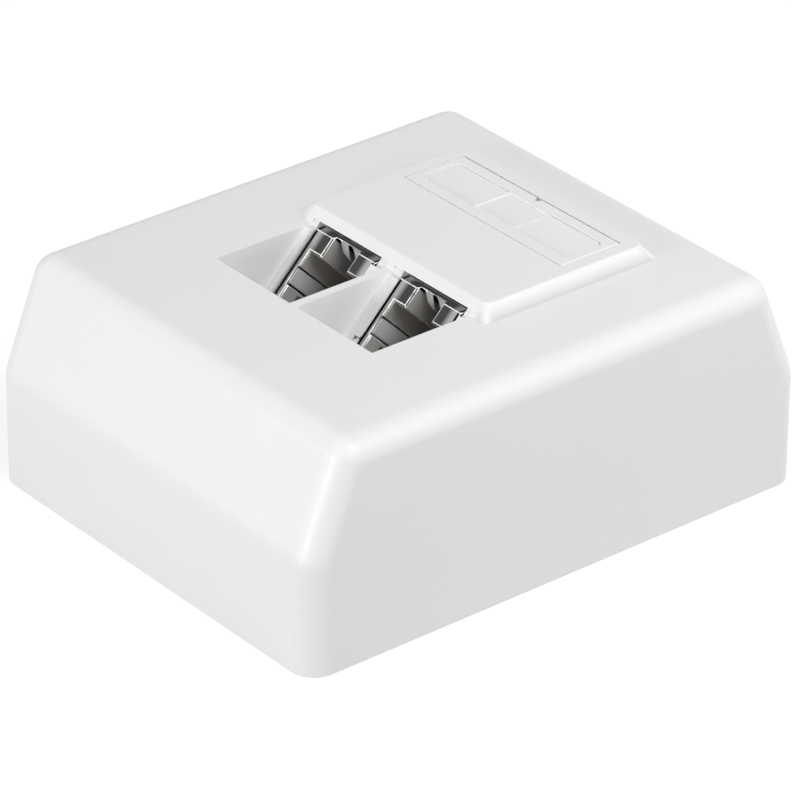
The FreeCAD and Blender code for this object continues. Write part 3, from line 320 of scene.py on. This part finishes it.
FINISHES = {
    "cover_plastic": finish("white_cover_moulding", grey(0.87, 0.002), grey(0.855, 0.0), patch=35.0,
                            gloss=(0.36, 0.44), relief=0.000003, IOR=1.5),
    "strip_plastic": finish("white_strip_moulding", grey(0.87, 0.002), grey(0.855, 0.0), patch=55.0,
                            gloss=(0.34, 0.42), relief=0.000003, IOR=1.5),
    "plate_plastic": finish("white_plate_moulding", grey(0.82, 0.004), grey(0.79, 0.006), patch=45.0,
                            gloss=(0.5, 0.62), relief=0.00001, IOR=1.5),
    "label_paper": finish("label_paper", grey(0.9, 0.002), grey(0.885, 0.003), patch=300.0,
                          gloss=(0.8, 0.92), grain=3500.0, relief=0.000012, IOR=1.4),
    "screw_steel": finish("zinc_plated_screw", grey(0.66, 0.01), grey(0.55, 0.03), patch=700.0,
                          gloss=(0.22, 0.34), relief=0.000004, Metallic=1.0),
    "carrier_steel": finish("zinc_plated_sheet", grey(0.6, 0.0), grey(0.5, 0.015), patch=240.0,
                            gloss=(0.28, 0.42), relief=0.000005, stretch=(1, 0.25, 1), Metallic=1.0),
    # The casting's inside tones are painted light and shade: a reflection on the side margins, a
    # shadow at the rim, light within the port; its rounded edges carry a painted highlight.
    "die_cast_nickel": finish("nickel_plated_casting", grey(0.075, 0.03), grey(0.05, 0.03),
                              patch=260.0, gloss=(0.22, 0.3), relief=0.000012, waviness=6.0,
                              waviness_scale=220.0, highlight_tone=grey(0.95, 0.01),
                              inside=(grey(0.42, 0.02), grey(0.006), grey(0.5, 0.03), 0.5, 0.25)),
    "spring_bronze": finish("tin_plated_leaf", grey(0.82, 0.01), grey(0.74, 0.015), patch=500.0,
                            gloss=(0.34, 0.42), relief=0.000002, Metallic=0.4),
    "insert_plastic": finish("black_comb_moulding", grey(0.06, 0.03), grey(0.045, 0.03), patch=400.0,
                             gloss=(0.35, 0.5), relief=0.000006, IOR=1.5),
    "gold_contact": finish("gold_plated_wire", (0.86, 0.64, 0.3, 1), (0.78, 0.55, 0.24, 1),
                           patch=800.0, gloss=(0.14, 0.24), relief=0.000002, Metallic=1.0),
    "board_laminate": finish("dark_laminate", grey(0.05, 0.03), grey(0.035, 0.03), patch=500.0,
                             gloss=(0.3, 0.42), relief=0.000004, IOR=1.5),
    "block_plastic": finish("off_white_moulding", grey(0.78, 0.02), grey(0.72, 0.03), patch=180.0,
                            gloss=(0.4, 0.52), relief=0.000008, IOR=1.5),
    "blade_bronze": finish("tin_plated_blade", grey(0.62, 0.03), grey(0.5, 0.05), patch=500.0,
                           gloss=(0.2, 0.32), relief=0.000003, Metallic=1.0),
    "cap_plastic": finish("blue_grey_moulding", (0.2, 0.3, 0.46, 1), (0.16, 0.25, 0.4, 1), patch=150.0,
                          gloss=(0.38, 0.5), relief=0.000008, IOR=1.5),
}


# ---------------------------------------------------------------- pieces from the frame's nodes

SEAM = 0.002 * MM
FLAT_ANGLE = math.radians(0.2)
SHARP_ANGLE = math.radians(35.0)
BUSY_CORNER = 6
BIG_FACE_WEIGHT = 100


def add_piece(node, mesh):
    """A finished piece that stands in for a CAD node, with the finish of the node's slot."""
    mesh.materials.append(FINISHES[slot_of[node]])
    piece = bpy.data.objects.new(mesh.name, mesh)
    bpy.context.scene.collection.objects.link(piece)
    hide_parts(node)
    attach(piece, body_of[node])
    return piece


def round_ridges(work, rounding):
    """Rounds the sharp convex edges and marks the new faces.

    Corners where many edges meet stay sharp, because rounding them opens the surface.
    """
    mark = work.faces.layers.float.new(EDGE_MARK)
    if rounding:
        ridges = [edge for edge in work.edges if not edge.smooth and edge.is_convex
                  and all(len(corner.link_edges) < BUSY_CORNER for corner in edge.verts)]
        made = bmesh.ops.bevel(work, geom=ridges, offset=rounding, segments=2, profile=0.5,
                               affect="EDGES", clamp_overlap=True)
        for face in made["faces"]:
            face[mark] = 1.0


def merged_copy(node, rounding):
    """The node's own surface, welded, with its flat faces in one piece and its curves smooth."""
    mesh = frame["nodes"][node].data.copy()
    mesh.name = f"{node}_surface"
    work = bmesh.new()
    work.from_mesh(mesh)
    bmesh.ops.remove_doubles(work, verts=work.verts, dist=SEAM)
    bmesh.ops.dissolve_limit(work, angle_limit=FLAT_ANGLE, verts=work.verts, edges=work.edges)
    for face in work.faces:
        face.smooth = True
    for edge in work.edges:
        edge.smooth = len(edge.link_faces) == 2 and edge.calc_face_angle(0.0) < SHARP_ANGLE
    round_ridges(work, rounding)
    work.to_mesh(mesh)
    work.free()
    mesh.materials.clear()
    weights = add_piece(node, mesh).modifiers.new("face_normals", "WEIGHTED_NORMAL")
    weights.keep_sharp = True
    weights.weight = BIG_FACE_WEIGHT


# Edge rounding of each kind of piece, in millimetres.
ROUNDED = {"cover": 0.15, "label_strip": 0.1, "back_plate": 0.15, "jack_carrier": 0.15,
           "jack_housing": 0.18, "contact_insert": 0.05, "wiring_block": 0.1, "wire_cap": 0.15,
           "rear_shield": 0.15}
SHAPED_ANEW = ("cover_screw", "carrier_screw", "contact_springs", "ground_springs")

for node in sorted(frame["nodes"]):
    if not node.startswith(SHAPED_ANEW):
        merged_copy(node, ROUNDED.get(node.rstrip("_12"), 0.0) * MM)


# ---------------------------------------------------------------- pieces worked out as surfaces

def grid_faces(rows, columns, first=0):
    """Quads between neighbouring rings of a grid whose columns close on themselves."""
    row, column = np.meshgrid(np.arange(rows - 1), np.arange(columns), indexing="ij")
    following = (column + 1) % columns
    corners = [row * columns + column, row * columns + following,
               (row + 1) * columns + following, (row + 1) * columns + column]
    return first + np.stack(corners, axis=-1).reshape(-1, 4)


def end_fans(rows, columns, first=0):
    """One many-sided face on each end ring."""
    start = first + np.arange(columns)
    return [tuple(start[::-1].tolist()), tuple((start + (rows - 1) * columns).tolist())]


def surface_piece(node, rings):
    """A piece of closed tubes, each an array of rings (rows, columns, 3), in place of a CAD node."""
    points, faces, first = [], [], 0
    for ring in rings:
        rows, columns, _ = ring.shape
        points.append(ring.reshape(-1, 3))
        faces += [tuple(face) for face in grid_faces(rows, columns, first).tolist()]
        faces += end_fans(rows, columns, first)
        first += rows * columns
    mesh = bpy.data.meshes.new(f"{node}_surface")
    mesh.from_pydata(np.concatenate(points).tolist(), [], faces)
    work = bmesh.new()
    work.from_mesh(mesh)
    bmesh.ops.recalc_face_normals(work, faces=work.faces)
    for face in work.faces:
        face.smooth = True
    for edge in work.edges:
        edge.smooth = edge.calc_face_angle(0.0) < SOFT_ANGLE
    work.to_mesh(mesh)
    work.free()
    add_piece(node, mesh)


SOFT_ANGLE = math.radians(40.0)


def rounded_loop(sides, square):
    """A closed loop from -1 to 1: cos^q and sin^q with their signs, squarer as q falls below 1."""
    angle = np.linspace(0, 2 * math.pi, sides, endpoint=False)
    wide = np.sign(np.cos(angle)) * np.abs(np.cos(angle)) ** square
    high = np.sign(np.sin(angle)) * np.abs(np.sin(angle)) ** square
    return wide, high


SCREW_SIDES = 64
HEAD_HEIGHT = 1.9 * MM
SHANK_RADIUS = 1.5 * MM
TIP_LENGTH = 0.5 * MM
TIP_TAPER = np.array([0.45, 0.7])[:, None]
THREAD_PITCH = 0.9 * MM
THREAD_DEPTH = 0.3 * MM
RINGS_A_TURN = 12
RIM_RADIUS = 0.35 * MM
RIM_RINGS = 6
TOP_RINGS = 26
TOP_MIDDLE = 0.02 * MM
CROSS_WIDTH = 0.95 * MM
CROSS_REACH = 1.7 * MM
CROSS_DEPTH = 1.2 * MM


def screw_rings(node):
    """Rings (r, angle, z) of a cheese-head screw.

    Shank: r = R - h * (1 + cos(2 pi z / pitch - angle)) / 2, a helix of one start. Head: a straight
    side with a rounded rim, and a flat top that sinks by a cross of two tapered slots.
    """
    low, high = (np.array(corner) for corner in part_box(node))
    middle = (low + high) / 2
    head = (high[0] - low[0]) / 2
    seat = high[2] - HEAD_HEIGHT
    angle = np.linspace(0, 2 * math.pi, SCREW_SIDES, endpoint=False)[None, :]
    thread_rings = int((seat - low[2]) / THREAD_PITCH * RINGS_A_TURN)
    turns = np.linspace(low[2] + TIP_LENGTH, seat, thread_rings)[:, None]
    helix = SHANK_RADIUS - THREAD_DEPTH * (1 + np.cos(2 * math.pi * turns / THREAD_PITCH - angle)) / 2
    tip = SHANK_RADIUS * TIP_TAPER
    rim = np.linspace(0, math.pi / 2, RIM_RINGS)[:, None]
    rim_radius = head - RIM_RADIUS + RIM_RADIUS * np.cos(rim)
    inward = np.linspace(head - RIM_RADIUS, TOP_MIDDLE, TOP_RINGS + 1)[1:, None]
    across, along = inward * np.cos(angle), inward * np.sin(angle)
    width = CROSS_WIDTH * (1 - 0.5 * inward / CROSS_REACH)
    arm = np.minimum(np.abs(across), np.abs(along)) < width / 2
    sink = CROSS_DEPTH * np.clip(1 - inward / CROSS_REACH, 0, 1) * arm
    whole = 0 * angle
    radius = np.concatenate([part + whole for part in (
        tip, helix, np.array([[SHANK_RADIUS], [head]]), rim_radius, inward)])
    level = np.concatenate([part + whole for part in (
        low[2] + np.array([[0.0], [0.5]]) * TIP_LENGTH, turns, np.array([[seat], [seat]]),
        high[2] - RIM_RADIUS + RIM_RADIUS * np.sin(rim), high[2] - sink)])
    return np.stack([middle[0] + radius * np.cos(angle), middle[1] + radius * np.sin(angle), level],
                    axis=-1)


for node in ("cover_screw", "carrier_screw_left", "carrier_screw_right"):
    surface_piece(node, [screw_rings(node)])


def in_port(number, along, across, outward):
    """Places in a jack's own frame (up the slope, across, out of the port), given in millimetres."""
    along, across, outward = np.broadcast_arrays(along, across, outward)
    return (PORT_PLACES[number] + MM * (along[..., None] * UP_SLOPE + across[..., None] * (0, 1, 0)
                                        + outward[..., None] * PORT_AXIS))


def eased_path(corners, steps=12, passes=10):
    """A path through corners: straight runs in equal steps, its bends eased by repeated averaging."""
    corners = np.array(corners, dtype=float)
    share = np.linspace(0, len(corners) - 1, steps * (len(corners) - 1) + 1)
    path = np.stack([np.interp(share, np.arange(len(corners)), column) for column in corners.T],
                    axis=-1)
    for _ in range(passes):
        path[1:-1] = (path[:-2] + 2 * path[1:-1] + path[2:]) / 4
    return path


def strip_rings(number, path, centre, width, thick, sides=16, square=0.45):
    """Rings of a strip bent in the plane of slope and depth.

    Section at each point: half width * cos^q on the across axis, half thickness * sin^q on the
    path's normal, with q under 1, which squares an ellipse off.
    """
    step = np.gradient(path, axis=0)
    step /= np.linalg.norm(step, axis=1, keepdims=True)
    normal = np.stack([-step[:, 1], step[:, 0]], axis=-1)
    wide, high = rounded_loop(sides, square)
    offset = thick / 2 * high[None, :]
    along = path[:, :1] + normal[:, :1] * offset
    outward = path[:, 1:] + normal[:, 1:] * offset
    across = np.reshape(centre, (-1, 1)) + np.reshape(width, (-1, 1)) / 2 * wide[None, :]
    return in_port(number, along, across + 0 * along, outward)


def leaf_rings(number, sign):
    """Rings of a side leaf: its place across is wall - bow * sin(pi t) from root to free end."""
    share = np.linspace(0, 1, LEAF_RINGS)
    outward = LEAF_ROOT + (LEAF_END - LEAF_ROOT) * share
    across = sign * (LEAF_WALL - LEAF_BOW * np.sin(math.pi * share))
    tall, flat = rounded_loop(LEAF_SIDES, LEAF_SQUARE)
    return in_port(number, LEAF_MIDDLE + LEAF_HEIGHT / 2 * tall[None, :] + 0 * outward[:, None],
                   across[:, None] + sign * LEAF_THICK / 2 * flat[None, :], outward[:, None])


# Ground springs and contact wires, in millimetres in a jack's own frame. A path's points are
# (up the slope, out of the port); a minus sign means down the slope or into the port.
LEAF_ROOT = -9.6
LEAF_END = -0.2
LEAF_WALL = 6.1
LEAF_BOW = 0.45
LEAF_MIDDLE = -1.2
LEAF_HEIGHT = 2.8
LEAF_THICK = 0.3
LEAF_RINGS = 25
LEAF_SIDES = 16
LEAF_SQUARE = 0.35
FINGER_PATH = eased_path([(7.5, -0.9), (7.3, -1.3), (6.15, -3.0), (5.75, -5.2), (7.1, -5.5)])
FINGER_WIDE = np.interp(np.linspace(0, 1, len(FINGER_PATH)), (0, 0.5, 0.75, 1), (2.0, 1.6, 0.8, 0.6))
FINGER_EDGE = 2.45
FINGER_THICK = 0.22
WIRE_PATH = eased_path([(-5.25, -13.0), (-5.25, -5.2), (-5.0, -4.8), (-2.16, -9.4)], passes=6)
WIRE_THICK = 0.4
CONTACT_PITCH = 1.02
CONTACT_LINES = (np.arange(8) - 3.5) * CONTACT_PITCH

for number in PORT_PLACES:
    fingers = [strip_rings(number, FINGER_PATH, sign * (FINGER_EDGE - FINGER_WIDE / 2), FINGER_WIDE,
                           FINGER_THICK) for sign in (-1, 1)]
    leaves = [leaf_rings(number, sign) for sign in (-1, 1)]
    surface_piece(f"ground_springs_{number}", fingers + leaves)

for number in PORT_PLACES:
    wires = [strip_rings(number, WIRE_PATH, line, WIRE_THICK, WIRE_THICK, sides=12, square=1.0)
             for line in CONTACT_LINES]
    surface_piece(f"contact_springs_{number}", wires)


# ---------------------------------------------------------------- floor, light and camera

FLOOR_REACH = 3.0
FLOOR_LEVEL = -0.02 * MM
FLOOR_LIFT = 0.72
FLOOR_TONE = (0.42, 0.42, 0.42, 1.0)
WHITE = (1.0, 1.0, 1.0, 1.0)
AMBIENT = 0.36


def backdrop_share(tree):
    """1 for what the eye sees directly, in a gloss or through glass, and 0 for light that falls."""
    path = add_node(tree, "ShaderNodeLightPath")
    seen = add_node(tree, "ShaderNodeMath", {0: path.outputs["Is Camera Ray"],
                                             1: path.outputs["Is Glossy Ray"]}, operation="MAXIMUM")
    return add_node(tree, "ShaderNodeMath", {0: seen.outputs[0],
                                             1: path.outputs["Is Transmission Ray"]},
                    operation="MAXIMUM").outputs[0]


def make_floor():
    """A pale floor that stays white to the eye and takes a soft shadow."""
    mesh = bpy.data.meshes.new("studio_floor")
    corners = [(x * FLOOR_REACH, y * FLOOR_REACH, FLOOR_LEVEL)
               for x, y in ((-1, -1), (1, -1), (1, 1), (-1, 1))]
    mesh.from_pydata(corners, [], [(0, 1, 2, 3)])
    material = bpy.data.materials.new("studio_floor")
    material.use_nodes = True
    tree = material.node_tree
    tree.nodes.clear()
    out = add_node(tree, "ShaderNodeOutputMaterial")
    lift = add_node(tree, "ShaderNodeMath", {0: backdrop_share(tree), 1: FLOOR_LIFT},
                    operation="MULTIPLY")
    glow = add_node(tree, "ShaderNodeEmission", {"Color": WHITE, "Strength": lift.outputs[0]})
    matt = add_node(tree, "ShaderNodeBsdfDiffuse", {"Color": FLOOR_TONE})
    both = add_node(tree, "ShaderNodeAddShader", {0: glow.outputs[0], 1: matt.outputs[0]})
    tree.links.new(both.outputs[0], out.inputs["Surface"])
    mesh.materials.append(material)
    floor = bpy.data.objects.new("studio_floor", mesh)
    bpy.context.scene.collection.objects.link(floor)


def make_world():
    """An even surround: soft fill light on the object, white behind it."""
    world = bpy.data.worlds.new("studio_surround")
    world.use_nodes = True
    tree = world.node_tree
    tree.nodes.clear()
    out = add_node(tree, "ShaderNodeOutputWorld")
    strength = add_node(tree, "ShaderNodeMix", {"Factor": backdrop_share(tree), 2: AMBIENT, 3: 1.0})
    sky = add_node(tree, "ShaderNodeBackground", {"Color": WHITE, "Strength": strength.outputs[0]})
    tree.links.new(sky.outputs[0], out.inputs["Surface"])
    bpy.context.scene.world = world


def soft_box(name, azimuth, elevation, distance, size, power):
    """A square lamp at a bearing (0 is +X, 90 is +Y) and height, aimed at the object's middle."""
    lamp = bpy.data.lights.new(name, "AREA")
    lamp.shape = "SQUARE"
    lamp.size = size
    lamp.energy = power
    turn, rise = math.radians(azimuth), math.radians(elevation)
    away = Vector((math.cos(turn) * math.cos(rise), math.sin(turn) * math.cos(rise), math.sin(rise)))
    box = bpy.data.objects.new(name, lamp)
    box.location = CENTRE + away * distance
    box.rotation_euler = away.to_track_quat("Z", "Y").to_euler()
    bpy.context.scene.collection.objects.link(box)


# Name, bearing and height in degrees, distance and size in metres, and power in watts.
LAMPS = [("key_light", 185.0, 9.0, 0.8, 0.2, 2.42),
         ("end_light", 150.0, 9.0, 0.8, 0.2, 0.98),
         ("side_light", 285.0, 50.0, 0.8, 0.5, 3.35),
         ("low_side_light", 285.0, 22.0, 0.8, 0.5, 0.42),
         ("near_light", 330.0, 25.0, 0.32, 0.25, 0.12)]
low, high = START_BOUNDS
CENTRE = Vector([(a + b) / 2 for a, b in zip(low, high)])

make_floor()
make_world()
for lamp_values in LAMPS:
    soft_box(*lamp_values)

# Bearing, height and roll in degrees, and the lens in millimetres on a 36 mm sensor.
CAMERA_AZIMUTH = 50.761
CAMERA_ELEVATION = 29.4156
CAMERA_ROLL = 0.3708
CAMERA_DISTANCE = 911.288 * MM
CAMERA_LENS = 262.55
SENSOR_WIDTH = 36.0
CLIP_NEAR = 0.05
CLIP_FAR = 20.0
CAMERA_AIM = Vector((-1.774, -1.522, 15.919)) * MM


def make_camera():
    """The viewing camera: bearing, elevation and a slight roll about its own axis."""
    turn, rise = math.radians(CAMERA_AZIMUTH), math.radians(CAMERA_ELEVATION)
    back = Vector((-math.cos(turn) * math.cos(rise), -math.sin(turn) * math.cos(rise),
                   math.sin(rise)))
    view = bpy.data.cameras.new("view_camera")
    view.lens = CAMERA_LENS
    view.sensor_width = SENSOR_WIDTH
    view.clip_start = CLIP_NEAR
    view.clip_end = CLIP_FAR
    camera = bpy.data.objects.new("view_camera", view)
    roll = Matrix.Rotation(math.radians(CAMERA_ROLL), 3, "Z")
    turned = back.to_track_quat("Z", "Y").to_matrix() @ roll
    camera.matrix_world = Matrix.Translation(CAMERA_AIM + back * CAMERA_DISTANCE) @ turned.to_4x4()
    bpy.context.scene.collection.objects.link(camera)
    bpy.context.scene.camera = camera


make_camera()

bpy.context.view_layer.update()
